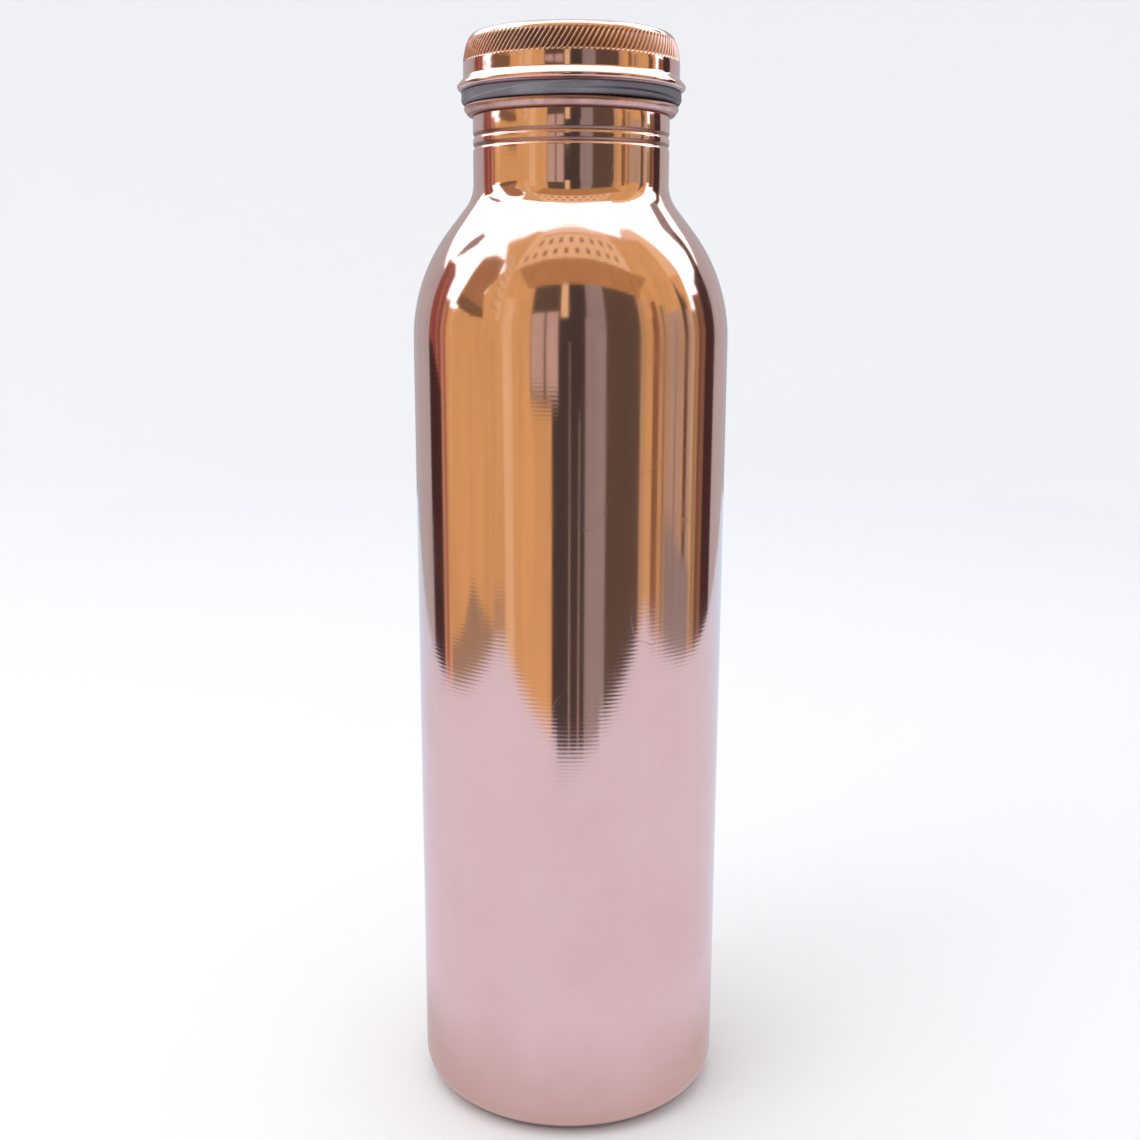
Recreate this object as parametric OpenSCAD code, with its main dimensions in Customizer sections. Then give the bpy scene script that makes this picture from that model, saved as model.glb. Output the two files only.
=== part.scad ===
// Copper water bottle: spun body, pressed base, threaded neck collar and a screw cap with a knurled crown.
// Origin at the centre of the foot, +Z up, millimetres.

/* [Barrel] */
// Outside diameter of the barrel
barrel_d = 76; // [68:1:84]
// Height at which the straight wall ends and the shoulder begins
barrel_top = 191.5; // [140:0.5:230]
// Thickness of the body's copper sheet
sheet = 0.6; // [0.5:0.1:0.8]
// Outside radius of the turned-in foot corner
foot_corner_r = 7; // [4:0.5:10]
// Width of the flat ring that the bottle stands on
foot_w = 5; // [3:0.5:8]
// Height of the base disc's kick-up at its centre
kick_up = 4; // [2:0.5:8]

/* [Shoulder and neck] */
// Radius of the shoulder's sweep, seen from the side
shoulder_r = 44.3; // [40:0.1:60]
// Radius of the cove between the shoulder and the neck
cove_r = 3.2; // [2:0.1:6]
// Outside diameter of the neck
neck_d = 46.4; // [44:0.2:48]
// Length of the neck above the cove
neck_h = 17.9; // [17:0.1:24]
// Depth of the two rolled crimps
crimp_depth = 0.4; // [0.2:0.05:0.5]
// Half the height of one crimp
crimp_half_h = 0.9; // [0.7:0.05:1]
// Distance between the crimps
crimp_pitch = 2.4; // [2.4:0.1:3]
// Distance from the neck's top edge down to the upper crimp
crimp_drop = 4.8; // [3:0.1:5.5]

/* [Mouth] */
// Thickness of the collar's flange, which forms the lip
lip_h = 2.4; // [1.6:0.1:3]
// Outside diameter of the lip at its widest, near the top
lip_d = 50.4; // [49.4:0.2:51]
// Amount by which the lip flares out from its foot
lip_flare = 0.7; // [0.2:0.1:1]
// Depth of the threaded collar below the lip
collar_h = 9.4; // [9.2:0.1:11]
// Clear diameter inside the collar's thread
mouth_d = 40; // [38:0.5:40.5]
// Thickness of the sealing washer
washer_h = 2.9; // [1.5:0.1:4]
// Outside diameter of the sealing washer
washer_d = 51.8; // [50:0.2:52]

/* [Thread] */
// Rise of the thread in one turn
pitch = 4; // [3.5:0.1:4.5]
// Depth of the thread
thread_depth = 1; // [0.8:0.1:1.1]
// Gap between the collar's and the stem's threads, measured along the radius
thread_gap = 0.3; // [0.25:0.05:0.4]

/* [Cap] */
// Length of the stem below the sealing washer
stem_reach = 10; // [9:0.5:11]
// Thickness of the cap's copper sheet
cap_sheet = 0.8; // [0.6:0.1:1]
// Outside diameter of the rolled flange at the cap's foot
flange_d = 53.6; // [52.8:0.2:54]
// Outside diameter of the cap's wall
cap_d = 50.7; // [50:0.1:51]
// Height of the cap, from the washer to its flat top
cap_h = 12.8; // [12:0.1:16]
// Radius of the crown's sweep, seen from the side
crown_r = 18; // [14:1:24]
// Radius of the edge round the flat top
crown_edge_r = 1.5; // [1:0.1:2]
// Number of knurled grooves round the crown
knurl_count = 130; // [90:1:150]
// Slant of the knurled grooves
knurl_slant = 30; // [0:1:35]

/* [Hidden] */

smooth = 128;          // facets of a full turn, for the preview
arc_step = 5;          // largest turn between two points of an arc, in degrees
thread_steps = 36;     // sections of the thread in one turn
thread_ease = 5;       // sections over which a thread fades in or out
bite = 0.3;            // how far a thread's root is sunk into its wall
play = 0.2;            // gap between the stem and the washer
plate_h = 0.8;         // thickness of the cap's inner plate
stem_wall = 1.2;       // wall of the stem under its thread
base_sheet = 0.8;      // thickness of the base disc

copper = "#d08a68";
copper_inside = "#c07a58";
washer_grey = "#6b666c";

barrel_r = barrel_d / 2;
foot_r = barrel_r - foot_corner_r;
foot_hole_r = foot_r - foot_w;
neck_r = neck_d / 2;

// The shoulder's arc meets the cove where both share one normal, at this angle above the horizontal.
shoulder_turn = acos((neck_r + cove_r - barrel_r + shoulder_r) / (shoulder_r + cove_r));
neck_foot = barrel_top + (shoulder_r + cove_r) * sin(shoulder_turn);
neck_top = neck_foot + neck_h;
crimps = [neck_top - crimp_drop - crimp_pitch, neck_top - crimp_drop];
crimp_r = (crimp_half_h * crimp_half_h + crimp_depth * crimp_depth) / (2 * crimp_depth);
crimp_axis_r = neck_r + crimp_r - crimp_depth;

lip_top = neck_top + lip_h;
lip_foot_edge_r = 0.5; // radius of the lip's lower edge
lip_top_edge_r = 0.9;  // radius of the lip's upper edge
lip_foot_r = lip_d / 2 - lip_flare;
collar_foot = neck_top - collar_h;
bore_r = mouth_d / 2 + thread_depth;

seat = lip_top + washer_h;
stem_root_r = bore_r - thread_gap - thread_depth;
stem_crest_r = bore_r - thread_gap;
stem_bore_r = stem_root_r - stem_wall;
stem_foot = lip_top - stem_reach;

cap_r = cap_d / 2;
cap_top = seat + cap_h;
bead_r = 1.05;         // radius of the rolled bead at the cap's foot
bead_axis_r = flange_d / 2 - bead_r;
flange_cove_r = 1.8;   // radius of the cove between the bead and the cap's wall
crown_foot = seat + 5; // height at which the cap's wall begins to lean in
plate_r = bead_axis_r - 0.75;

// Points along an arc round centre c, of radius r, from angle a to angle b.
function arc(c, r, a, b) =
    let (n = max(2, ceil(abs(b - a) / arc_step)))
    [for (i = [0 : n]) c + r * [cos(a + (b - a) * i / n), sin(a + (b - a) * i / n)]];

// One crimp seen from the side, read upwards. grow moves it towards the axis, as on the sheet's inner face.
function crimp(z, grow) =
    let (
        r = crimp_r + grow,
        reach = acos((crimp_r - crimp_depth + grow) / r)
    )
    arc([crimp_axis_r, z], r, 180 + reach, 180 - reach);

// One face of the body's sheet, from the foot's inner edge up to the neck's top edge.
// inset is 0 on the outer face and the sheet's thickness on the inner one.
function body_face(inset) = concat(
    [[foot_hole_r, inset]],
    arc([foot_r, foot_corner_r], foot_corner_r - inset, -90, 0),
    arc([barrel_r - shoulder_r, barrel_top], shoulder_r - inset, 0, shoulder_turn),
    arc([neck_r + cove_r, neck_foot], cove_r + inset, 180 + shoulder_turn, 180),
    crimp(crimps[0], inset),
    crimp(crimps[1], inset),
    [[neck_r - inset, neck_top]]
);

function reversed(points) = [for (i = [len(points) - 1 : -1 : 0]) points[i]];

// A helical ridge with a trapezoidal section, from height z upwards. It fades in and out at its ends.
module thread(root_r, crest_r, z, turns) {
    n = round(turns * thread_steps);
    root_half = 0.25 * pitch;
    crest_half = 0.11 * pitch;
    fade = [for (i = [0 : n]) min(1, 0.05 + i / thread_ease, 0.05 + (n - i) / thread_ease)];
    points = [
        for (i = [0 : n])
            let (
                turn = 360 * i / thread_steps,
                mid = z + pitch * i / thread_steps,
                tip_r = root_r + (crest_r - root_r) * fade[i]
            )
            for (p = [
                [root_r, -root_half],
                [tip_r, -crest_half],
                [tip_r, crest_half],
                [root_r, root_half]
            ])
                [p[0] * cos(turn), p[0] * sin(turn), mid + p[1]]
    ];
    sides = [
        for (i = [0 : n - 1], k = [0 : 3])
            let (
                a = 4 * i + k,
                b = 4 * i + (k + 1) % 4
            )
            each [[a, b, b + 4], [a, b + 4, a + 4]]
    ];
    last = 4 * n;
    ends = [
        [2, 1, 0],
        [3, 2, 0],
        [last, last + 1, last + 2],
        [last, last + 2, last + 3]
    ];
    faces = concat(sides, ends);
    // The section turns over when the ridge points inwards, so its faces are then read backwards.
    polyhedron(points, crest_r > root_r ? faces : [for (f = faces) reversed(f)]);
}

// Drawn copper: foot, barrel, shoulder and neck in one sheet, with two crimps that hold the collar.
module body_shell() {
    color(copper)
        rotate_extrude($fn = smooth)
            polygon(concat(body_face(0), reversed(body_face(sheet))));
}

// Pressed disc, brazed to the inside of the foot. Its kick-up keeps it off the table.
module base_disc() {
    dome_r = (foot_hole_r * foot_hole_r + kick_up * kick_up) / (2 * kick_up);
    dome_turn = asin(foot_hole_r / dome_r);
    dome_axis = [0, sheet + kick_up - dome_r];
    color(copper_inside)
        rotate_extrude($fn = smooth)
            polygon(concat(
                arc(dome_axis, dome_r, 90, 90 - dome_turn),
                [[foot_r, sheet], [foot_r, sheet + base_sheet]],
                reversed(arc(dome_axis, dome_r + base_sheet, 90, 90 - dome_turn))
            ));
}

// Turned collar, brazed inside the neck. Its flange is the bottle's lip and its bore carries the thread.
module neck_collar() {
    ridge_foot = collar_foot + 0.4 * pitch;
    color(copper) {
        union() {
            rotate_extrude($fn = smooth)
                polygon(concat(
                    [[bore_r, collar_foot], [neck_r - sheet, collar_foot]],
                    crimp(crimps[0], sheet),
                    crimp(crimps[1], sheet),
                    [[neck_r - sheet, neck_top]],
                    arc([lip_foot_r - lip_foot_edge_r, neck_top + lip_foot_edge_r], lip_foot_edge_r, -90, -20),
                    arc([lip_d / 2 - lip_top_edge_r, lip_top - lip_top_edge_r], lip_top_edge_r, -20, 90),
                    [[bore_r, lip_top]]
                ));
            thread(bore_r + bite, mouth_d / 2, ridge_foot, 2.2);
        }
    }
}

// Rubber washer, loose on the stem and squeezed between the lip and the cap's inner plate.
module sealing_washer() {
    corner = 0.4;
    washer_r = washer_d / 2;
    bore = stem_root_r + play;
    color(washer_grey)
        rotate_extrude($fn = smooth)
            polygon(concat(
                [[bore, lip_top]],
                arc([washer_r - corner, lip_top + corner], corner, -90, 0),
                arc([washer_r - corner, seat - corner], corner, 0, 90),
                [[bore, seat]]
            ));
}

// The cap's outer face, from the flange's bead to the middle of the flat top.
function cap_face() =
    let (
        bead = [bead_axis_r, seat + bead_r],
        // The cove touches the bead and the wall.
        cove_x = cap_r + flange_cove_r,
        cove_turn = acos((cove_x - bead_axis_r) / (bead_r + flange_cove_r)),
        cove = bead + (bead_r + flange_cove_r) * [cos(cove_turn), sin(cove_turn)],
        crown = [cap_r - crown_r, crown_foot],
        crown_turn = asin((cap_top - crown_edge_r - crown_foot) / (crown_r - crown_edge_r)),
        edge = crown + (crown_r - crown_edge_r) * [cos(crown_turn), sin(crown_turn)]
    )
    concat(
        arc(bead, bead_r, -90, cove_turn),
        arc(cove, flange_cove_r, 180 + cove_turn, 180),
        arc(crown, crown_r, 0, crown_turn),
        arc(edge, crown_edge_r, crown_turn, 90),
        [[0, cap_top]]
    );

// The V-shaped cutter of one knurled groove, standing on the crown at angle 0.
module knurl_groove() {
    groove_w = 0.62 * PI * cap_d / knurl_count;
    groove_depth = 0.4;
    band_mid = seat + 8.85;
    groove_l = 5.7;
    lean = asin((band_mid - crown_foot) / crown_r);
    on_crown = [cap_r - crown_r * (1 - cos(lean)), 0, band_mid];
    translate(on_crown)
        rotate([0, -lean, 0])
            rotate([-knurl_slant, 0, 0])
                linear_extrude(height = groove_l, center = true)
                    polygon([[-groove_depth, 0], [0.3, groove_w * 0.8], [0.3, -groove_w * 0.8]]);
}

// Spun cap: flat top, knurled crown and a wall that flares into a rolled bead round the inner plate.
module cap_shell() {
    hollow_top = cap_top - cap_sheet;
    hollow_r = cap_r - cap_sheet;
    color(copper)
        difference() {
            rotate_extrude($fn = smooth)
                polygon(concat([[0, seat]], cap_face()));
            // Seat of the inner plate.
            translate([0, 0, seat - 1])
                cylinder(h = plate_h + 1, r = plate_r, $fn = smooth);
            // Hollow above it, which follows the crown.
            rotate_extrude($fn = smooth)
                polygon(concat(
                    [[0, seat + plate_h - 0.01], [hollow_r - 0.8, seat + plate_h - 0.01]],
                    [[hollow_r - 0.8, seat + 2.2]],
                    arc([cap_r - crown_r, crown_foot], crown_r - cap_sheet, 0, 16),
                    [[hollow_r - 3, hollow_top], [0, hollow_top]]
                ));
            for (i = [0 : knurl_count - 1])
                rotate([0, 0, 360 * i / knurl_count])
                    knurl_groove();
        }
}

// Flat disc that closes the cap from below and presses on the washer.
module cap_inner_plate() {
    color(copper_inside)
        translate([0, 0, seat])
            cylinder(h = plate_h, r = plate_r, $fn = smooth);
}

// Hollow stem, brazed under the inner plate. Its thread runs in the collar's.
module cap_stem() {
    // The stem's ridge lies half a pitch from the collar's, in the middle of the groove.
    ridge_foot = collar_foot + 0.9 * pitch;
    color(copper_inside) {
        difference() {
            union() {
                translate([0, 0, stem_foot])
                    cylinder(h = seat - stem_foot, r = stem_root_r, $fn = smooth);
                thread(stem_root_r - bite, stem_crest_r, ridge_foot, 1.75);
            }
            translate([0, 0, stem_foot - 1])
                cylinder(h = seat - stem_foot + 1, r = stem_bore_r, $fn = smooth);
        }
    }
}

body_shell();
base_disc();
neck_collar();
sealing_washer();
cap_shell();
cap_inner_plate();
cap_stem();
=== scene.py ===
import math

import bmesh
import bpy
from mathutils import Matrix, Vector, noise


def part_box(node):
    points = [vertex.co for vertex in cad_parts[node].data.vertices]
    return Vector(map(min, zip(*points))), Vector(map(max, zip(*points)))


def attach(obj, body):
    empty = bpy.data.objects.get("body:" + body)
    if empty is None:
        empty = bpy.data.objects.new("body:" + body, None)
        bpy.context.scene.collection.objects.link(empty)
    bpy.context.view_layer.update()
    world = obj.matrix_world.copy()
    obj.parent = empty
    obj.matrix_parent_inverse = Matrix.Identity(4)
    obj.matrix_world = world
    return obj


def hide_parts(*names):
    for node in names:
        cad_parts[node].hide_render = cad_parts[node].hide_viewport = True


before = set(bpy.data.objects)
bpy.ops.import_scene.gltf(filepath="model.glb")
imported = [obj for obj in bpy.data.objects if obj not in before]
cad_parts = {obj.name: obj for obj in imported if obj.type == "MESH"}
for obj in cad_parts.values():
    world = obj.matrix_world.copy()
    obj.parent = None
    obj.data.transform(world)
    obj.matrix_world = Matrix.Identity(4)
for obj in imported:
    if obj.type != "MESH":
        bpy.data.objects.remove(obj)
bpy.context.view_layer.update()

scene = bpy.context.scene
scene.view_settings.view_transform = "Standard"

# ---------------------------------------------------------------- the barrel, shoulder and neck
# One piece of thin copper sheet, drawn into a tube, closed in over a former on the lathe and
# polished while it turns. Two crimps rolled into the neck grip the threaded collar inside it.

body_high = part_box("body_shell")[1]
barrel_radius = body_high.x
neck_top = body_high.z
sheet = 0.0006
foot_corner = 0.007
foot_width = 0.005
shoulder_foot = 0.192
shoulder_sweep = 0.042
shoulder_turn = 38
cove = 0.009
neck_radius = 0.0232
neck_edge = 0.00025
crimp_lows = (neck_top - 0.0080, neck_top - 0.0056)
crimp_depth = 0.0003
crimp_steep = 41
crimp_gentle = 29
crimp_top = 0.00115
foot_radius = barrel_radius - foot_corner
foot_opening = foot_radius - foot_width
shoulder_out = math.cos(math.radians(shoulder_turn))
shoulder_up = math.sin(math.radians(shoulder_turn))
cone_foot = (
    barrel_radius - shoulder_sweep * (1 - shoulder_out),
    shoulder_foot + shoulder_sweep * shoulder_up,
)
cone_top_radius = neck_radius + cove * (1 - shoulder_out)
cone_rise = (cone_foot[0] - cone_top_radius) / shoulder_up * shoulder_out
neck_foot = cone_foot[1] + cone_rise + cove * shoulder_up


class Turning:
    """A turned piece. Its section is drawn from point to point in the XZ plane, then spun about the axis."""

    def __init__(self, radius, height):
        self.mesh = bmesh.new()
        self.start = self.mesh.verts.new((radius, 0, height))
        self.tip = self.start

    def line(self, radius, height, parts=1):
        begin, end = self.tip.co.copy(), Vector((radius, 0, height))
        for part in range(parts):
            grown = bmesh.ops.extrude_vert_indiv(self.mesh, verts=[self.tip])
            self.tip = grown["verts"][0]
            self.tip.co = begin.lerp(end, (part + 1) / parts)
        return self

    def arc(self, radius, height, degrees, parts):
        """Goes round a centre: anticlockwise when positive, seen with the radius to the right."""
        spun = bmesh.ops.spin(
            self.mesh, geom=[self.tip], cent=(radius, 0, height), axis=(0, -1, 0),
            angle=math.radians(degrees), steps=parts, use_merge=False,
        )
        self.tip = spun["geom_last"][0]
        return self

    def crimp(self, low, depth, steep, gentle, parts=8):
        """A rolled groove, drawn upwards on a straight wall: a steep lower flank, then a gentle one."""
        wall = self.tip.co.x
        valley = lower_lip = 0.5 * depth / (1 - math.cos(math.radians(steep)))
        upper_lip = depth / (1 - math.cos(math.radians(gentle))) - valley
        reach = (valley + lower_lip) * math.cos(math.radians(steep))
        rise = (valley + lower_lip) * math.sin(math.radians(steep))
        valley_axis = (wall - lower_lip + reach, low + rise)
        high = low + rise + (valley + upper_lip) * math.sin(math.radians(gentle))
        self.line(wall, low)
        self.arc(wall - lower_lip, low, steep, parts)
        self.arc(*valley_axis, -steep - gentle, 2 * parts)
        self.arc(wall - upper_lip, high, gentle, parts)
        return self

    def close(self):
        self.mesh.edges.new((self.tip, self.start))
        self.tip = self.start
        return self

    def spin(self, parts):
        bmesh.ops.spin(
            self.mesh, geom=self.mesh.verts[:] + self.mesh.edges[:], cent=(0, 0, 0), axis=(0, 0, 1),
            angle=math.tau, steps=parts, use_merge=True,
        )
        return self

    def finish(self, name):
        """Closes the seams and poles, turns the faces outwards and makes the object."""
        bmesh.ops.remove_doubles(self.mesh, verts=self.mesh.verts, dist=2e-6)
        bare = [edge for edge in self.mesh.edges if not edge.link_faces]
        bmesh.ops.delete(self.mesh, geom=bare, context="EDGES")
        bmesh.ops.recalc_face_normals(self.mesh, faces=self.mesh.faces)
        for face in self.mesh.faces:
            face.smooth = True
        data = bpy.data.meshes.new(name)
        self.mesh.to_mesh(data)
        self.mesh.free()
        piece = bpy.data.objects.new(name, data)
        scene.collection.objects.link(piece)
        return piece


body = Turning(foot_opening, 0)
body.line(foot_radius, 0, 2)
body.arc(foot_radius, foot_corner, 90, 16)
body.line(barrel_radius, shoulder_foot, 40)
body.arc(barrel_radius - shoulder_sweep, shoulder_foot, shoulder_turn, 32)
body.line(cone_top_radius, cone_foot[1] + cone_rise, 5)
body.arc(neck_radius + cove, neck_foot, -shoulder_turn, 18)
for crimp_low in crimp_lows:
    body.crimp(crimp_low, crimp_depth, crimp_steep, crimp_gentle)
body.line(neck_radius, neck_top - neck_edge)
body.arc(neck_radius - neck_edge, neck_top - neck_edge, 90, 4)
body.line(neck_radius - sheet, neck_top)
body.line(neck_radius - sheet, neck_foot)
body.arc(neck_radius + cove, neck_foot, shoulder_turn, 9)
body.line(cone_foot[0] - sheet * shoulder_out, cone_foot[1] - sheet * shoulder_up, 3)
body.arc(barrel_radius - shoulder_sweep, shoulder_foot, -shoulder_turn, 16)
body.line(barrel_radius - sheet, foot_corner, 6)
body.arc(foot_radius, foot_corner, -90, 8)
body.line(foot_opening, sheet)
body.close().spin(256)
bottle_body = body.finish("bottle_body")


class Value:
    """One output in a material, with the arithmetic of Python."""

    def __init__(self, finish, socket):
        self.finish = finish
        self.socket = socket

    def math(self, operation, *others):
        return self.finish.node("Math", {"operation": operation}, dict(enumerate((self, *others))))

    def __add__(self, other):
        return self.math("ADD", other)

    def __sub__(self, other):
        return self.math("SUBTRACT", other)

    def __mul__(self, other):
        return self.math("MULTIPLY", other)

    def __pow__(self, other):
        return self.math("POWER", other)

    def __rsub__(self, other):
        return self * -1 + other

    __radd__ = __add__
    __rmul__ = __mul__

    def ramp(self, low, high):
        """Rises smoothly from 0 to 1 as this value goes from low to high."""
        return self.finish.node(
            "MapRange", {"interpolation_type": "SMOOTHSTEP"},
            {"Value": self, "From Min": low, "From Max": high},
        )


class Finish:
    """A material under way, with its piece's coordinates: x, y, z and reach, the distance from the axis."""

    def __init__(self, name):
        self.material = bpy.data.materials.new(name)
        self.material.use_nodes = True
        self.shader = self.material.node_tree.nodes["Principled BSDF"]
        place = self.node("TexCoord", output="Object")
        self.x, self.y, self.z = (self.node("SeparateXYZ", {}, {0: place}, axis) for axis in range(3))
        self.reach = (self.x * self.x + self.y * self.y) ** 0.5
        self.along = self.z - self.reach
        self.lathe = self.node("CombineXYZ", {}, {0: self.x, 1: self.y, 2: self.along})

    def fill(self, node, inputs):
        for key, value in inputs.items():
            if isinstance(value, Value):
                self.material.node_tree.links.new(value.socket, node.inputs[key])
            else:
                node.inputs[key].default_value = value

    def node(self, kind, settings=None, inputs=None, output=0):
        """Adds a node: its settings come first, then the values and links of its sockets."""
        made = self.material.node_tree.nodes.new("ShaderNode" + kind)
        for key, value in (settings or {}).items():
            setattr(made, key, value)
        self.fill(made, inputs or {})
        return Value(self, made.outputs[output])

    def clouds(self, across, along, detail=2.0, rough=0.5):
        """A cloudy pattern from 0 to 1. The scales are across the axis and along the lathe's cut."""
        scales = (across, across, along)
        scaled = self.node("VectorMath", {"operation": "MULTIPLY"}, {0: self.lathe, 1: scales})
        sockets = {"Vector": scaled, "Scale": 1.0, "Detail": detail, "Roughness": rough}
        return self.node("TexNoise", {}, sockets)

    def blend(self, factor, first, second):
        first = first if isinstance(first, Value) else (*first, 1)
        second = second if isinstance(second, Value) else (*second, 1)
        return self.node("Mix", {"data_type": "RGBA"}, {0: factor, 6: first, 7: second}, 2)

    def relief(self, height, metres):
        """Turns a pattern into relief that is this many metres deep."""
        return self.node("Bump", {}, {"Height": height, "Strength": 1.0, "Distance": metres})

    def apply(self, *pieces, **sockets):
        """Sets the shader's sockets, named in small letters, and gives the material to the pieces."""
        self.fill(self.shader, {key.replace("_", " ").title(): value for key, value in sockets.items()})
        for piece in pieces:
            piece.data.materials.clear()
            piece.data.materials.append(self.material)


copper_bright = (0.93, 0.62, 0.57)
copper_worn = (0.80, 0.49, 0.44)
# The third colour is the dark one that painted shade in hollows and corners, and the lip's tarnish, blend
# towards.
copper_shade_and_tarnish = (0.20, 0.085, 0.055)
ripple_pitch = 0.00095
ripple_depth = 0.0000027
shoulder_ripple = 0.35


def polished_copper(name, ripple=1.0, wear=0.3, haze=0.0, darkening=None):
    """Mirror-polished copper, with the lathe's ripples, fine hairlines and a few stray scratches."""
    finish = Finish(name)
    drift = finish.clouds(18, 110, 1.0)
    swell = finish.clouds(9, 70, 1.0).ramp(0.3, 0.7)
    calm = 1 - finish.z.ramp(shoulder_foot - 0.012, shoulder_foot + 0.012) * (1 - shoulder_ripple)
    turns = finish.along * (math.tau / ripple_pitch) + drift * 9
    ripples = turns.math("SINE") * (swell * 0.6 + 0.4) * calm * (0.5 * ripple)
    hairs = finish.clouds(60, 9000, 3.0, 0.6)
    streaks = finish.clouds(35, 1500, 2.0)
    wobble = finish.clouds(34, 26, 1.0)
    path = finish.clouds(60, 24, 1.0)
    patches = finish.clouds(45, 60, 2.0).ramp(0.5, 0.66)
    scratches = (1 - (path - 0.5).math("ABSOLUTE").ramp(0.0, 0.0022)) * patches
    height = ripples + hairs * 0.3 + streaks * 0.6 + wobble * 12.0 - scratches * 0.8
    smudge = finish.clouds(42, 36, 4.0, 0.62).ramp(0.42, 0.76)
    tarnish = finish.clouds(16, 22, 5.0, 0.62).ramp(0.4, 0.8)
    bright_hairs = hairs.ramp(0.6, 0.8) * swell
    worn = tarnish * wear + smudge * 0.22 + scratches * 0.4 + bright_hairs * 0.12
    colour = finish.blend(worn, copper_bright, copper_worn)
    rough = smudge * 0.05 + hairs * 0.04 + scratches * 0.12 + tarnish * 0.02 + (0.058 + haze)
    # Painted shade: a mask darkens hollows, corners and the parts under others towards the dark colour, and
    # on the lip it also carries tarnish.
    if darkening:
        shade_and_tarnish = darkening(finish)
        colour = finish.blend(shade_and_tarnish * (0.75 + 0.25 * smudge), colour, copper_shade_and_tarnish)
        rough = rough + shade_and_tarnish * 0.25
    finish.apply(
        base_color=colour, metallic=1.0, roughness=rough, normal=finish.relief(height, ripple_depth),
    )
    return finish


def crimp_painted_shade(finish):
    """Painted shade under the upper edge of each crimp and in the corner under the lip."""
    darkening = (finish.z - neck_top).ramp(-0.0005, -0.0001)
    for crimp_low in crimp_lows:
        below_edge = (finish.z - (crimp_low + crimp_top)).math("ABSOLUTE")
        darkening = darkening.math("MAXIMUM", 1 - below_edge.ramp(0.0002, 0.0006))
    return darkening * 0.8


polished_copper("polished_copper", darkening=crimp_painted_shade).apply(bottle_body)
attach(bottle_body, "bottle")
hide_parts("body_shell")

# ---------------------------------------------------------------- the bottom of the bottle
# A round copper blank, pressed up in the middle so that it stays off the table, and brazed to the
# inside of the turned-in foot. Its underside is left with the press's satin finish.

base_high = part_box("base_disc")[1]
base_sheet = 0.0008
kick_up = base_high.z - sheet - base_sheet
dome_radius = (foot_opening**2 + kick_up**2) / (2 * kick_up)
dome_turn = math.degrees(math.asin(foot_opening / dome_radius))
dome_axis = sheet + kick_up - dome_radius

disc = Turning(0, base_high.z)
disc.arc(0, dome_axis, -dome_turn, 24)
disc.line(foot_radius, sheet + base_sheet, 2)
disc.line(foot_radius, sheet)
disc.line(foot_opening, sheet, 2)
disc.arc(0, dome_axis, dome_turn, 24)
disc.spin(192)
bottle_bottom = disc.finish("bottle_bottom")

satin_bright = (0.86, 0.53, 0.44)
satin_worn = (0.62, 0.33, 0.25)


def satin_copper(name):
    """Copper as it leaves the press or the lathe: brushed round and round, and a little dull."""
    finish = Finish(name)
    around = finish.clouds(250, 2500, 3.0)
    brushed = finish.clouds(120, 6000, 3.0, 0.6)
    tarnish = finish.clouds(60, 60, 5.0, 0.65).ramp(0.4, 0.75)
    finish.apply(
        base_color=finish.blend(tarnish * 0.8, satin_bright, satin_worn),
        metallic=1.0,
        roughness=around * 0.16 + tarnish * 0.1 + 0.2,
        normal=finish.relief(around * 0.5 + brushed, 0.000006),
    )
    return finish


satin = satin_copper("satin_copper")
satin.apply(bottle_bottom)
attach(bottle_bottom, "bottle")
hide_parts("base_disc")

# ---------------------------------------------------------------- the threaded collar and its lip
# A turned copper collar, brazed inside the neck. Its flange is the flared lip that the washer sits
# on, a little uneven and dull, and the thread for the cap is cut in its bore.

collar_low, collar_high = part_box("neck_collar")
lip_top = collar_high.z
lip_radius = collar_high.x
lip_flare = 0.0007
lip_foot_edge = 0.00045
lip_foot_turn = 60
lip_top_edge = 0.0009
lip_lean = 20
bore_radius = 0.021
bore_edge = 0.0004
thread_pitch = 0.004
thread_depth = 0.001
thread_bite = 0.0003
thread_edge = 0.00018
thread_root_half = 0.25 * thread_pitch
thread_edge_half = 0.13 * thread_pitch
thread_crest_half = 0.09 * thread_pitch
thread_fade_turns = 0.14
collar_thread_start = collar_low.z + 0.4 * thread_pitch
collar_thread_turns = 2.2
lip_unevenness = 0.00022
lip_line = 0.0016

lip = Turning(bore_radius, collar_low.z)
lip.line(neck_radius - sheet, collar_low.z)
lip.line(neck_radius - sheet, neck_top)
lip.line(lip_radius - lip_flare - lip_foot_edge, neck_top, 2)
lip.arc(lip_radius - lip_flare - lip_foot_edge, neck_top + lip_foot_edge, lip_foot_turn, 6)
lip.line(lip_radius - lip_top_edge + lip_top_edge * math.cos(math.radians(lip_lean)),
         lip_top - lip_top_edge - lip_top_edge * math.sin(math.radians(lip_lean)), 3)
lip.arc(lip_radius - lip_top_edge, lip_top - lip_top_edge, 90 + lip_lean, 12)
lip.line(bore_radius + bore_edge, lip_top, 3)
lip.arc(bore_radius + bore_edge, lip_top - bore_edge, 90, 5)
lip.close().spin(256)
for vert in lip.mesh.verts:
    rise = (vert.co.z - neck_top) / (lip_top - neck_top)
    if rise > 0.05 and vert.co.xy.length > neck_radius:
        turn = math.atan2(vert.co.y, vert.co.x)
        sag = 0.5 - 0.5 * math.sin(2 * turn + 0.4) + 0.3 * math.sin(5 * turn)
        vert.co.z -= lip_unevenness * rise * sag


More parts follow.
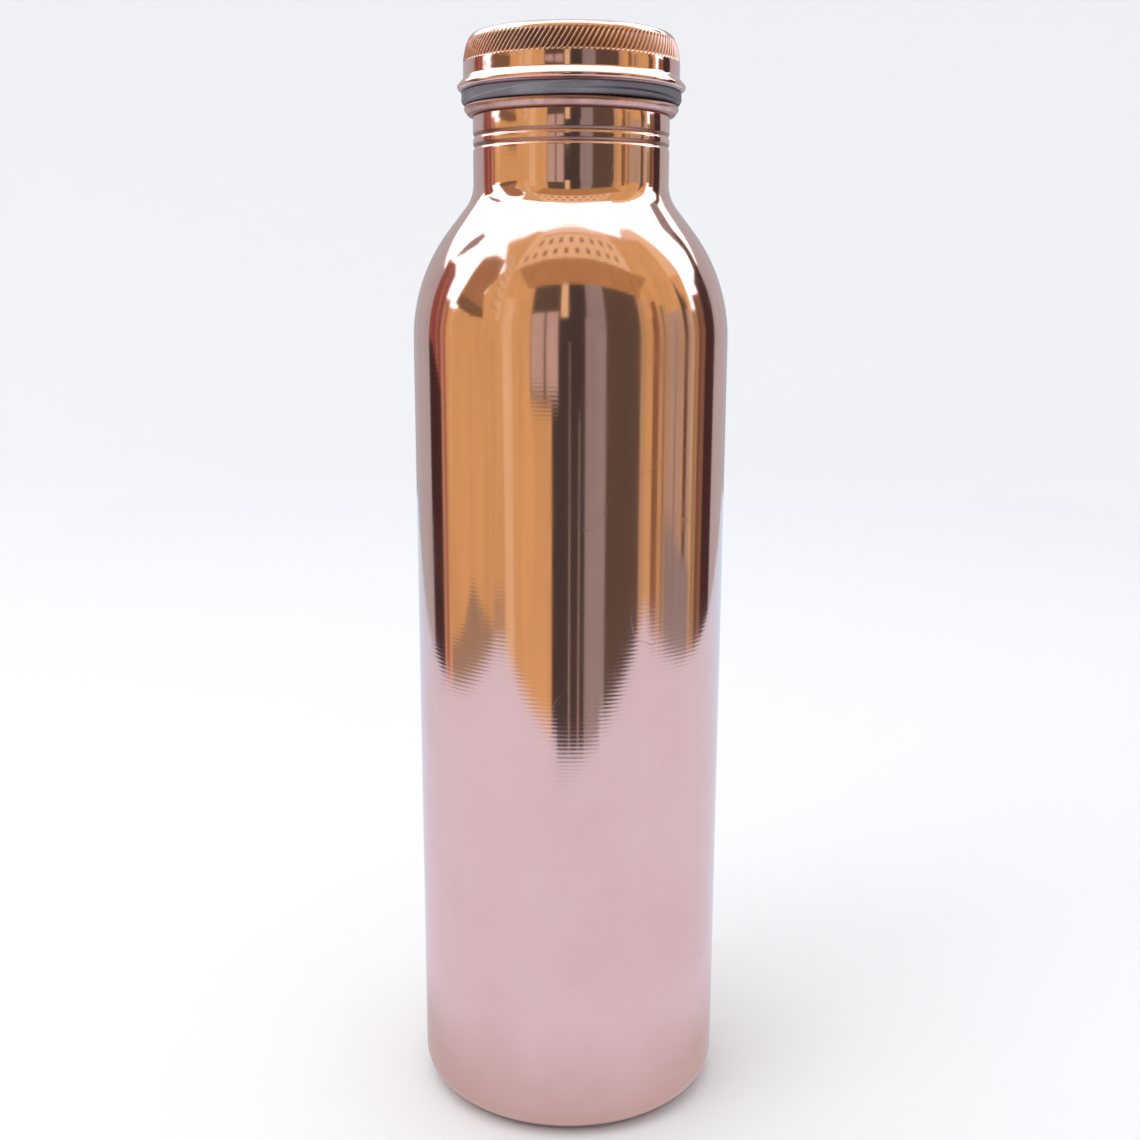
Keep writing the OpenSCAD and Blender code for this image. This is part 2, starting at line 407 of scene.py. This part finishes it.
def helix(name, root, crest, foot_height, turns, steps=120):
    """A thread's ridge. Its section is spun up the axis, and the ridge fades into the wall at both ends."""
    out = math.copysign(1, crest - root)
    ridge = Turning(root, foot_height - thread_root_half)
    ridge.line(crest - out * thread_edge, foot_height - thread_edge_half)
    ridge.line(crest, foot_height - thread_crest_half)
    ridge.line(crest, foot_height + thread_crest_half)
    ridge.line(crest - out * thread_edge, foot_height + thread_edge_half)
    ridge.line(root, foot_height + thread_root_half)
    ridge.close()
    count = round(turns * steps)
    section = ridge.mesh.edges[:]
    bmesh.ops.contextual_create(ridge.mesh, geom=section)
    spun = bmesh.ops.spin(
        ridge.mesh, geom=ridge.mesh.verts[:] + section, cent=(0, 0, 0), axis=(0, 0, 1),
        dvec=(0, 0, thread_pitch / steps), angle=math.tau * turns, steps=count, use_merge=False,
    )
    last = [part for part in spun["geom_last"] if isinstance(part, bmesh.types.BMEdge)]
    bmesh.ops.contextual_create(ridge.mesh, geom=last)
    fade = thread_fade_turns * steps
    ridge.mesh.verts.index_update()
    for vert in ridge.mesh.verts:
        step = vert.index // len(section)
        share = min(1, 0.05 + step / fade, 0.05 + (count - step) / fade)
        reach = root + (vert.co.xy.length - root) * share
        vert.co.xy *= reach / vert.co.xy.length
    return ridge.finish(name)


def join(piece, *others):
    """Joins other meshes into a piece."""
    mesh = bmesh.new()
    for part in (piece, *others):
        mesh.from_mesh(part.data)
    mesh.to_mesh(piece.data)
    mesh.free()
    for part in others:
        bpy.data.objects.remove(part)


def lip_shade_and_tarnish(finish):
    """Painted shade in the corner between the lip and the neck, under the washer, along a fine line and over
    the lip above it, with mottled tarnish.
    """
    in_corner = 1 - (finish.z - neck_top).ramp(0.0001, 0.0005)
    under_washer = (finish.z - lip_top).ramp(-0.0007, -0.0001)
    # A fine dark line of painted shade stands in for a groove, and painted shade darkens the lip above it.
    past_line = finish.z - (neck_top + lip_line)
    line_and_top_shade = (1 - past_line.math("ABSOLUTE").ramp(0.00008, 0.00022)) * 0.9
    line_and_top_shade = line_and_top_shade.math("MAXIMUM", past_line.ramp(0.0, 0.0003) * 0.4)
    mottle = finish.clouds(260, 700, 3.0).ramp(0.35, 0.65) * 0.4
    darkening = in_corner
    for patch in (under_washer, line_and_top_shade, mottle):
        darkening = darkening.math("MAXIMUM", patch)
    return darkening * 0.8


neck_lip = lip.finish("neck_lip")
collar_ridge = helix(
    "collar_ridge", bore_radius + thread_bite, bore_radius - thread_depth,
    collar_thread_start, collar_thread_turns,
)
join(neck_lip, collar_ridge)
polished_copper("lip_copper", ripple=0.6, wear=1.8, haze=0.17, darkening=lip_shade_and_tarnish).apply(neck_lip)
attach(neck_lip, "bottle")
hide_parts("neck_collar")

# ---------------------------------------------------------------- the sealing washer
# A thick ring of matt grey silicone rubber, loose on the cap's stem. It is squeezed unevenly, so
# it tapers to the lip, is tucked and folded along one side, and has a long slanting crease.

washer_low, washer_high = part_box("sealing_washer")
washer_radius = washer_high.x
washer_bore = 0.0199
washer_top_corner = 0.0004
washer_low_corner = 0.0008
washer_swell = 0.00012
washer_lift = 0.00045
washer_tuck = 0.0009
tuck_rise = 0.3
tuck_wander = 0.12
tuck_width = 0.08
tuck_places = ((42, 34, 1.0), (170, 30, 0.6))
crease_start = -76
crease_run = 82
crease_end = 5

ring = Turning(washer_bore, washer_low.z)
ring.line(washer_radius - washer_swell - washer_low_corner, washer_low.z, 4)
ring.arc(washer_radius - washer_swell - washer_low_corner, washer_low.z + washer_low_corner, 90, 10)
ring.line(washer_radius - washer_swell, washer_high.z - washer_top_corner, 24)
ring.arc(washer_radius - washer_swell - washer_top_corner, washer_high.z - washer_top_corner, 90, 6)
ring.line(washer_bore, washer_high.z, 4)
ring.close().spin(256)
thickness = washer_high.z - washer_low.z
for vert in ring.mesh.verts:
    reach = vert.co.xy.length
    if reach < neck_radius:
        continue
    turn = math.degrees(math.atan2(vert.co.x, -vert.co.y))
    rise = (vert.co.z - washer_low.z) / thickness
    unevenness = noise.noise(Vector((turn / 23, rise * 2, 4.2)))
    swell = washer_swell * (math.sin(math.pi * rise) - 0.6 - 0.6 * unevenness)
    tucked = sum(depth * math.exp(-(((turn - middle) / width) ** 2)) for middle, width, depth in tuck_places)
    tuck_line = tuck_rise + tuck_wander * math.sin(math.radians(turn * 3 + 30))
    swell -= washer_tuck * tucked * math.exp(-(((rise - tuck_line) / tuck_width) ** 2))
    vert.co.z += washer_lift * tucked * (1 - rise) * (reach - neck_radius) / (washer_radius - neck_radius)
    vert.co.xy *= 1 + swell / reach
sealing_ring = ring.finish("sealing_ring")

rubber_grey = (0.155, 0.140, 0.162)
rubber_dusty = (0.245, 0.225, 0.250)
rubber_crease = (0.36, 0.33, 0.35)
rubber = Finish("grey_rubber")
grain = rubber.clouds(2600, 2600, 3.0, 0.6)
dust = rubber.clouds(120, 300, 4.0, 0.6).ramp(0.45, 0.75)
around = rubber.x.math("ARCTAN2", rubber.y * -1) * math.degrees(1)
risen = (rubber.z - washer_low.z) * (1 / thickness)
crease = 1 - (risen - (around - crease_start) * (1 / crease_run)).math("ABSOLUTE").ramp(0.0, 0.05)
crease = crease * around.ramp(crease_start - 10, crease_start + 25)
crease = crease * (1 - around.ramp(crease_end, crease_end + 15))
dusty = rubber.blend(dust * 0.7, rubber_grey, rubber_dusty)
rubber.apply(
    sealing_ring,
    base_color=rubber.blend(crease * 0.7, dusty, rubber_crease),
    roughness=0.72 - dust * 0.1 + grain * 0.1,
    normal=rubber.relief(grain + crease * 2, 0.00003),
)
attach(sealing_ring, "seal")
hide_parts("sealing_washer")

# ---------------------------------------------------------------- the screw cap
# Spun from one copper blank: a flat top, a crown that a slanting knurling wheel has bitten all the
# way round, and a wall that flares to a skirt with its edge rolled under the inner plate.

cap_low, cap_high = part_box("cap_shell")
plate_low, plate_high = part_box("cap_inner_plate")
seat = cap_low.z
cap_sheet = 0.0008
skirt_radius = cap_high.x
wall_radius = 0.02535
crown_sweep = 0.018
crown_foot = seat + 0.005
crown_edge = 0.0022
hem_radius = 0.02595
skirt_bead = 0.0007
bead_height = 0.00106
skirt_slope = 42
skirt_cove = 0.0008
teeth = 130
tooth_columns = 6
tooth_slant = 32
tooth_depth = 0.00046
tooth_rise = 0.00006
groove_sharpness = 1.2
band_low = seat + 0.0063
band_high = seat + 0.0112
band_fade = 0.00055

crown_axis = wall_radius - crown_sweep
crown_turn = math.asin((cap_high.z - crown_edge - crown_foot) / (crown_sweep - crown_edge))
edge_axis = (crown_axis + (crown_sweep - crown_edge) * math.cos(crown_turn), cap_high.z - crown_edge)
bead_axis = (skirt_radius - skirt_bead, seat + bead_height)
hem_turn = math.degrees(math.acos((hem_radius - bead_axis[0]) / skirt_bead))
slope_out = math.cos(math.radians(skirt_slope))
slope_up = math.sin(math.radians(skirt_slope))
slope_foot = (bead_axis[0] + skirt_bead * slope_out, bead_axis[1] + skirt_bead * slope_up)
slope_top = wall_radius + skirt_cove * (1 - slope_out)
slope_rise = (slope_foot[0] - slope_top) / math.tan(math.radians(skirt_slope))
cove_height = slope_foot[1] + slope_rise + skirt_cove * slope_up

cap = Turning(plate_high.x, seat)
cap.line(hem_radius, seat, 2)
cap.line(hem_radius, bead_axis[1] - skirt_bead * math.sin(math.radians(hem_turn)))
cap.arc(*bead_axis, hem_turn + skirt_slope, 14)
cap.line(slope_top, slope_foot[1] + slope_rise, 3)
cap.arc(wall_radius + skirt_cove, cove_height, -skirt_slope, 8)
cap.line(wall_radius, crown_foot, 2)
cap.arc(crown_axis, crown_foot, math.degrees(crown_turn), 34)
cap.arc(*edge_axis, 90 - math.degrees(crown_turn), 9)
cap.line(0, cap_high.z, 5)
cap.line(0, cap_high.z - cap_sheet)
cap.line(edge_axis[0] - cap_sheet, cap_high.z - cap_sheet, 2)
cap.line(wall_radius - cap_sheet, crown_foot, 2)
cap.line(wall_radius - cap_sheet, plate_high.z)
cap.line(plate_high.x, plate_high.z)
cap.close()
tooth_angle = math.tau / teeth
bmesh.ops.spin(
    cap.mesh, geom=cap.mesh.verts[:] + cap.mesh.edges[:], cent=(0, 0, 0), axis=(0, 0, 1),
    angle=tooth_angle, steps=tooth_columns, use_merge=False,
)
slant_run = math.tan(math.radians(tooth_slant)) / wall_radius
crown_inside = edge_axis[0] - 0.5 * cap_sheet
for vert in cap.mesh.verts:
    reach = vert.co.xy.length
    height = vert.co.z
    in_band = max(0, min(1, (height - band_low) / band_fade, (band_high - height) / band_fade))
    if in_band and reach > crown_inside:
        share = math.atan2(vert.co.y, vert.co.x) / tooth_angle
        bite = (0.5 + 0.5 * math.cos(math.tau * share)) ** groove_sharpness
        vert.co.xy *= 1 + in_band * (tooth_rise - (tooth_depth + tooth_rise) * bite) / reach
    lean = (min(max(height, band_low), band_high) - band_low) * slant_run
    vert.co = Matrix.Rotation(lean, 3, "Z") @ vert.co
bmesh.ops.spin(
    cap.mesh, geom=cap.mesh.verts[:] + cap.mesh.edges[:] + cap.mesh.faces[:], cent=(0, 0, 0),
    axis=(0, 0, 1), angle=math.tau, steps=teeth, use_duplicate=True, use_merge=False,
)
screw_cap = cap.finish("screw_cap")


def cap_painted_shade(finish):
    """Painted shade at the bottom of the knurling's grooves and along the rolled hem."""
    up = finish.z - crown_foot
    crown = (crown_sweep**2 - up * up) ** 0.5 + crown_axis
    in_groove = (crown + tooth_rise - finish.reach).ramp(0.08 * tooth_depth, 0.55 * tooth_depth)
    in_band = (finish.z - band_low).ramp(0.0, band_fade) * (1 - (finish.z - band_high).ramp(-band_fade, 0.0))
    at_hem = 1 - (finish.z - seat).ramp(0.0001, 0.0005)
    return (in_groove * in_band).math("MAXIMUM", at_hem) * 0.95


polished_copper("cap_copper", ripple=0.35, wear=0.5, darkening=cap_painted_shade).apply(screw_cap)
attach(screw_cap, "cap")
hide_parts("cap_shell")

# ---------------------------------------------------------------- the cap's inner plate
# A flat copper disc, stamped from sheet and pressed into the skirt, where the rolled hem holds it.
# It closes the cap from below and bears on the washer.

plate_edge = 0.0002
plate = Turning(0, plate_low.z)
plate.line(plate_high.x - plate_edge, plate_low.z, 6)
plate.arc(plate_high.x - plate_edge, plate_low.z + plate_edge, 90, 4)
plate.arc(plate_high.x - plate_edge, plate_high.z - plate_edge, 90, 4)
plate.line(0, plate_high.z, 3)
plate.spin(160)
inner_plate = plate.finish("inner_plate")
satin.apply(inner_plate)
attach(inner_plate, "cap")
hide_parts("cap_inner_plate")

# ---------------------------------------------------------------- the cap's threaded stem
# A short copper tube, brazed under the inner plate. The male thread is rolled on its outside, and
# screws into the collar's bore.

stem_low, stem_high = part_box("cap_stem")
stem_radius = 0.0197
stem_wall = 0.0012
stem_edge = 0.0003
stem_bore = stem_radius - stem_wall
stem_thread_start = collar_low.z + 0.9 * thread_pitch
stem_thread_turns = 1.75

tube = Turning(stem_bore + stem_edge, stem_low.z)
tube.line(stem_radius - stem_edge, stem_low.z)
tube.arc(stem_radius - stem_edge, stem_low.z + stem_edge, 90, 4)
tube.line(stem_radius, stem_high.z, 10)
tube.line(stem_bore, stem_high.z)
tube.line(stem_bore, stem_low.z + stem_edge, 4)
tube.arc(stem_bore + stem_edge, stem_low.z + stem_edge, 90, 4)
tube.spin(200)
threaded_stem = tube.finish("threaded_stem")
stem_ridge = helix(
    "stem_ridge", stem_radius - thread_bite, stem_radius + thread_depth,
    stem_thread_start, stem_thread_turns,
)
join(threaded_stem, stem_ridge)
satin_copper("stem_copper").apply(threaded_stem)
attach(threaded_stem, "cap")
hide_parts("cap_stem")

# ---------------------------------------------------------------- the studio
# A pale floor that curves up into a round backdrop, under two soft white lights. The copper doesn't
# mirror the floor or the lights, but the boards of the next section.

paper_white = (0.86, 0.865, 0.88, 1)
floor_height = -0.0001
floor_radius = 1.2
floor_curve = 0.6
backdrop_top = 1.2
sweep = Turning(0, floor_height)
sweep.line(floor_radius, floor_height, 4)
sweep.arc(floor_radius, floor_curve, 90, 16)
sweep.line(floor_radius + floor_curve, backdrop_top)
sweep.spin(96)
floor = sweep.finish("floor")
floor.visible_glossy = False
paper = Finish("floor_paper")
paper.apply(floor, base_color=paper_white, roughness=1.0)

world = bpy.data.worlds.new("studio")
scene.world = world
world.use_nodes = True
sky = world.node_tree.nodes["Background"]
sky.inputs["Color"].default_value = (0.98, 0.985, 1.0, 1)
sky.inputs["Strength"].default_value = 0.9


def softbox(name, place, aim, size, power):
    """A square light that isn't mirrored in the copper."""
    light = bpy.data.lights.new(name, "AREA")
    light.size = size
    light.energy = power
    lamp = bpy.data.objects.new(name, light)
    lamp.location = place
    lamp.rotation_euler = (Vector(aim) - Vector(place)).to_track_quat("-Z", "Y").to_euler()
    lamp.visible_glossy = False
    scene.collection.objects.link(lamp)


softbox("overhead_light", (-0.25, -0.1, 1.7), (0, 0, 0), 1.3, 8)
softbox("side_light", (-1.0, -0.7, 1.1), (0, 0, 0.1), 0.8, 4)

# ---------------------------------------------------------------- the boards round the bottle
# Coloured boards that stand along a table's edges, and white ones beyond and above them. Only the
# polish mirrors them: their warm, dark and pale bands show how the metal is curved.

front = -0.345
left = -0.43
right = 0.49
back = 0.95
door_top = 0.44
soffit_top = 0.655
wall_top = 1.58
board_colours = {
    "terracotta": (0.68, 0.44, 0.175),
    "terracotta_light": (0.82, 0.62, 0.34),
    "terracotta_shade": (0.45, 0.26, 0.10),
    "sand": (0.78, 0.58, 0.30),
    "clay": (0.50, 0.36, 0.19),
    "rust": (0.26, 0.13, 0.07),
    "bark": (0.20, 0.125, 0.065),
    "brick": (0.38, 0.22, 0.105),
    "rosewood": (0.42, 0.17, 0.12),
    "maroon": (0.27, 0.085, 0.065),
    "mauve": (0.45, 0.38, 0.29),
    "olive": (0.36, 0.27, 0.17),
    "pane": (0.55, 0.45, 0.39),
    "smoke": (0.30, 0.28, 0.26),
    "umber": (0.105, 0.08, 0.055),
    "soot": (0.055, 0.045, 0.04),
    "night": (0.05, 0.02, 0.02),
    "pewter": (0.47, 0.48, 0.49),
    "pale": (0.86, 0.90, 0.95),
    "blush": (0.86, 0.68, 0.50),
    "white": (1.9, 1.95, 2.0),
}
board_gap = 0.0004
board_names = []


def glow(name, colour):
    """A faintly streaked glow, which lights nothing but the reflections."""
    finish = Finish(name)
    patches = finish.clouds(18, 5, 4.0, 0.6).ramp(0.3, 0.7)
    dim = tuple(part * 0.92 for part in colour)
    lively = tuple(part * 1.06 for part in colour)
    streaked = finish.blend(patches, dim, lively)
    finish.apply(base_color=(0, 0, 0, 1), roughness=1.0, emission_color=streaked, emission_strength=1.0)
    finish.material.cycles.emission_sampling = "NONE"
    return finish


glows = {name: glow("board_" + name, colour) for name, colour in board_colours.items()}


def board(finish, *corners):
    """A flat board that only reflections can see."""
    name = f"board_{len(board_names):03d}"
    board_names.append(name)
    mesh = bmesh.new()
    mesh.faces.new([mesh.verts.new(corner) for corner in corners])
    data = bpy.data.meshes.new(name)
    mesh.to_mesh(data)
    mesh.free()
    piece = bpy.data.objects.new(name, data)
    scene.collection.objects.link(piece)
    finish.apply(piece)
    piece.visible_camera = False
    piece.visible_diffuse = False
    piece.visible_shadow = False
    piece.visible_transmission = False


def on_front(colour, *outline):
    """A board across the front, over those before it. Its outline has places to the right and heights."""
    nearer = front + len(board_names) * board_gap
    board(glows[colour], *((across, nearer, up) for across, up in outline))


def on_left(colour, *outline):
    """A board down the left side. Its outline has places towards the back and heights."""
    nearer = left + len(board_names) * board_gap
    board(glows[colour], *((nearer, along, up) for along, up in outline))


def on_right(colour, *outline):
    """A board down the right side, drawn like one on the left."""
    nearer = right - len(board_names) * board_gap
    board(glows[colour], *((nearer, along, up) for along, up in outline))


def oblong(start, end, low, high):
    return (start, low), (end, low), (end, high), (start, high)


# The table's top is cooler and brighter at the back, and warmer in the shadow round the foot.
table_far = (0.64, 0.80, 0.96)
table_near = (0.705, 0.745, 0.875)
table_foot = (0.55, 0.52, 0.53)
table_contact = (0.06, 0.035, 0.035)
table_height = -0.00005
table = glow("table_glow", table_near)
distance = table.reach * (1.25 - table.clouds(16, 16, 3.0) * 0.5)
lit = table.blend(table.y.ramp(0.06, 0.5), table_near, table_far)
shade = table.blend(table.reach.ramp(0.0335, 0.037), table_contact, table_foot)
table.apply(emission_color=table.blend(distance.ramp(0.034, 0.092), shade, lit))
board(table, (left, front, table_height), (right, front, table_height), (right, back, table_height),
      (left, back, table_height))

# Across the front, a terracotta board with a shaded band stands behind pale panes and dark uprights.
on_front("terracotta", *oblong(left, right, 0, soffit_top))
on_front("terracotta_light", *oblong(left, right, soffit_top, wall_top))
on_front("sand", (-0.355, 0), (-0.28, 0), (-0.30, 0.40), (-0.395, 0.45))
on_front("terracotta_shade", (-0.22, door_top), (0.44, door_top), (right, 0.50), (right, soffit_top),
         (-0.365, soffit_top))
on_front("umber", *oblong(-0.175, -0.04, 0.15, door_top))
on_front("pane", *oblong(-0.17, -0.11, 0.155, 0.31))
on_front("pane", *oblong(-0.10, -0.05, 0.155, 0.31))
on_front("soot", *oblong(-0.04, 0.065, 0, door_top))
on_front("soot", *oblong(-0.075, 0, 0, 0.15))
on_front("terracotta_light", *oblong(-0.04, -0.01, 0.27, door_top))
on_front("smoke", *oblong(0.065, 0.15, 0, door_top))
on_front("umber", *oblong(0.15, 0.39, 0, door_top))
on_front("clay", *oblong(0.39, 0.455, 0, door_top))


def slots(count, first, pitch, width, low, high):
    """A row of rusty slots along the front, above the shaded band."""
    for slot in range(count):
        start = first + pitch * slot
        on_front("rust", *oblong(start, start + width, low, high))


slots(10, -0.345, 0.075, 0.026, 0.705, 0.785)
slots(8, -0.275, 0.088, 0.030, 0.90, 1.04)
on_front("clay", *oblong(-0.30, 0.34, 1.17, 1.22))
on_front("blush", (-0.30, 1.24), (0.34, 1.24), (0.22, wall_top), (-0.22, wall_top))

# A dark post with a grey edge stands a little nearer the bottle, with two thin lines on it.
post = -0.32
board(glows["soot"], (-0.05, post, 0), (0.055, post, 0), (0.055, post, 0.28), (-0.04, post, 0.28))
board(glows["smoke"], (0.055, post, 0), (0.12, post, 0), (0.14, post, 0.28), (0.055, post, 0.28))
post += board_gap
board(glows["mauve"], (-0.005, post, 0), (0, post, 0), (-0.002, post, 0.20), (-0.004, post, 0.20))
board(glows["mauve"], (0.03, post, 0), (0.035, post, 0), (0.035, post, 0.15), (0.032, post, 0.15))

# Down the left, a terracotta board has darker and paler pieces laid over it, and a dark one beyond.
on_left("terracotta", (front, 0), (0.015, 0), (0.015, 0.285), (-0.02, 0.30), (-0.025, 0.335),
        (front, 0.36))
on_left("terracotta", (front, 0.34), (-0.15, 0.33), (-0.25, 0.60), (-0.21, 0.645), (-0.105, 0.76),
        (-0.185, 0.99), (-0.30, 1.50), (front, 1.60))
on_left("brick", (-0.205, 0.29), (-0.12, 0.285), (-0.02, 0.30), (0.01, 0.31), (-0.015, 0.39),
        (-0.035, 0.545), (-0.11, 0.62), (-0.21, 0.645), (-0.225, 0.515), (-0.17, 0.40))
on_left("bark", (-0.205, 0.29), (-0.12, 0.285), (-0.02, 0.30), (0.01, 0.31), (-0.005, 0.35),
        (-0.19, 0.33))
on_left("sand", (-0.335, 0.30), (-0.30, 0.30), (-0.25, 0.52), (-0.235, 0.74), (-0.28, 0.78),
        (-0.335, 0.60))
for course in range(7):
    course_low = 0.34 + 0.06 * course
    on_left("clay", (-0.315, course_low), (-0.235, course_low + 0.02),
            (-0.235, course_low + 0.032), (-0.315, course_low + 0.012))
board(glows["clay"], (left, -0.27, 0), (-0.365, front, 0), (-0.365, front, 0.03), (left, -0.27, 0.03))
on_left("rosewood", *oblong(0.05, 0.095, 0, 0.31))
on_left("terracotta", *oblong(0.015, 0.05, 0, 0.29))
on_left("clay", *oblong(0.076, 0.088, 0, 0.29))
on_left("maroon", (0.095, 0.12), (0.235, 0.14), (0.245, 0.37), (0.27, 0.425), (0.15, 0.425),
        (0.095, 0.39))
on_left("rosewood", (0.12, 0.16), (0.14, 0.16), (0.17, 0.41), (0.15, 0.41))
on_left("night", (0.095, 0), (0.215, 0), (0.24, 0.19), (0.095, 0.15))
on_left("olive", (-0.32, 0), (0.03, 0), (0.03, 0.02), (-0.06, 0.03), (-0.12, 0.05), (-0.22, 0.025))
on_left("smoke", (0.205, 0.44), (0.15, 0.475), (0.10, 0.545), (0.105, 0.62), (0.155, 0.625),
        (0.19, 0.53))

# Down the right, narrow upright strips stand under a steep top, and a dark board beyond them.
on_right("terracotta", (front, 0), (0.055, 0), (0.055, 0.35), (0.06, 0.46), (0.04, 0.57), (0.02, 0.71),
         (-0.015, 0.98), (-0.10, 1.14), (-0.18, 1.02), (front, 1.55))
on_right("blush", (-0.015, 0.98), (-0.10, 1.14), (-0.16, 0.95), (-0.06, 0.80), (0.01, 0.78))
on_right("terracotta_light", (-0.04, 0.46), (0.04, 0.45), (0.02, 0.71), (-0.01, 0.98), (-0.06, 0.80))
on_right("terracotta_shade", (front, 0.50), (-0.23, 0.54), (front, soffit_top))
on_right("umber", *oblong(-0.283, -0.27, 0, 0.32))
on_right("rust", *oblong(-0.27, -0.23, 0, 0.40))
on_right("clay", *oblong(-0.22, -0.15, 0, 0.36))
on_right("umber", *oblong(-0.195, -0.186, 0, 0.36))
on_right("mauve", *oblong(-0.15, -0.05, 0, 0.31))
on_right("rust", (-0.106, 0.05), (-0.098, 0.05), (-0.092, 0.28), (-0.098, 0.28))
on_right("umber", (-0.035, 0), (-0.01, 0), (0, 0.33), (-0.035, 0.44))
on_right("rust", (-0.01, 0), (-0.002, 0), (0.02, 0.33), (0, 0.38))
on_right("mauve", *oblong(-0.002, 0.03, 0, 0.30))
on_right("sand", *oblong(0.03, 0.04, 0, 0.30))
on_right("clay", *oblong(0.04, 0.085, 0, 0.29))
on_right("umber", *oblong(0.062, 0.069, 0, 0.29))
on_right("rust", *oblong(0.085, 0.16, 0, 0.34))
on_right("umber", *oblong(0.10, 0.118, 0, 0.34))
on_right("night", (0.16, 0), (0.30, 0), (0.335, 0.44), (0.29, 0.44), (0.16, 0.38))
on_right("smoke", (-0.165, 0), (0.035, 0), (0.035, 0.05), (-0.165, 0.075))
on_right("smoke", (0.25, 0.43), (0.335, 0.43), (0.385, 0.52), (0.40, 0.60), (0.45, 0.69), (0.36, 0.74),
         (0.285, 0.68), (0.27, 0.58), (0.285, 0.50))
on_right("umber", (0.225, 0.40), (0.335, 0.43), (0.36, 0.51), (0.375, 0.60), (0.33, 0.60), (0.29, 0.50))

# Grey boards stand behind the bottle, with a dark strip on each side of the middle of the rear one.
on_left("pewter", (0.215, 0), (back, 0), (back, 0.72), (0.30, 0.40), (0.235, 0.375))
on_right("pewter", (0.30, 0), (back, 0), (back, 0.90), (0.315, 0.40))
board(glows["pewter"], (left, back, 0), (right, back, 0), (right, back, 0.85), (left, back, 0.75))
rear = back - board_gap
board(glows["smoke"], (-0.095, rear, 0), (-0.035, rear, 0), (-0.035, rear, 0.62), (-0.095, rear, 0.66))
board(glows["umber"], (0.045, rear, 0), (0.07, rear, 0), (0.07, rear, 0.70), (0.045, rear, 0.72))

# White boards close the studio above the others, with a pale grey one on its ceiling and rear wall.
far = 1.8
low = 0.2
high = 2.2
white = glows["white"]
board(white, (-far, -far, high), (far, -far, high), (far, far, high), (-far, far, high))
board(white, (-far, -far, low), (-far, far, low), (-far, far, high), (-far, -far, high))
board(white, (far, -far, low), (far, far, low), (far, far, high), (far, -far, high))
board(white, (-far, -far, low), (far, -far, low), (far, -far, high), (-far, -far, high))
board(white, (-far, far, low), (far, far, low), (far, far, high), (-far, far, high))
pale_half = 0.6
pale_front = 0.75
pale_rear = far - board_gap
pale_ceiling = high - board_gap
board(glows["pale"], (-pale_half, pale_front, pale_ceiling), (pale_half, pale_front, pale_ceiling),
      (pale_half, pale_rear, pale_ceiling), (-pale_half, pale_rear, pale_ceiling))
board(glows["pale"], (-pale_half, pale_rear, low), (pale_half, pale_rear, low),
      (pale_half, pale_rear, high), (-pale_half, pale_rear, high))

# ---------------------------------------------------------------- the camera
# It stands a little above the shoulder, looks down at the barrel and leans a touch to one side.

camera_place = (-0.0002, -0.3436, 0.20743)
camera_drop = 11.95
camera_roll = -0.17

camera_data = bpy.data.cameras.new("camera")
camera_data.lens = 44.0
camera_data.sensor_width = 36.0
camera_data.clip_start = 0.01
camera = bpy.data.objects.new("camera", camera_data)
camera.location = camera_place
camera.rotation_euler = (math.radians(90 - camera_drop), math.radians(camera_roll), 0)
scene.collection.objects.link(camera)
scene.camera = camera
